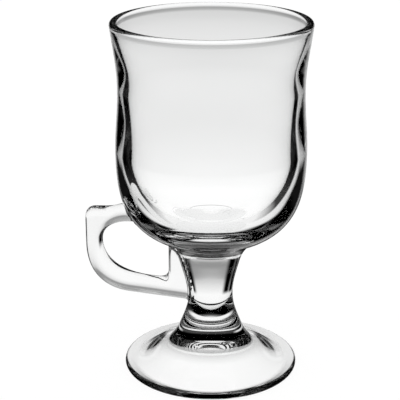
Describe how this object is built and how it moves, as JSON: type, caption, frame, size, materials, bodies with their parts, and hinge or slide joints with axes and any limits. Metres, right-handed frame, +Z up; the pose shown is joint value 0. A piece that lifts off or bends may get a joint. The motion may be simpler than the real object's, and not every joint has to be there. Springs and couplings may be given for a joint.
{
  "type": "irish coffee glass",
  "caption": "Footed clear glass mug for hot drinks: a flared bell bowl on a short waisted stem, a round flared foot and a finger handle with a thumb rest and a web to the stem.",
  "frame": {"origin": "on the plane that the foot stands on, in the middle of the whole mug's length and width; the glass's axis is 5.45 mm from it towards +X", "axes": "+Z up along the axis of the bowl, stem and foot; the handle points along -X and X-Z is its middle plane"},
  "size_m": [0.086, 0.075, 0.1375],
  "materials": {
    "clear_glass": "clear, colourless, fire-polished gloss"
  },
  "bodies": {
    "root": {"bowl": "clear_glass", "stem": "clear_glass", "foot": "clear_glass", "handle": "clear_glass"}
  },
  "joints": []
}
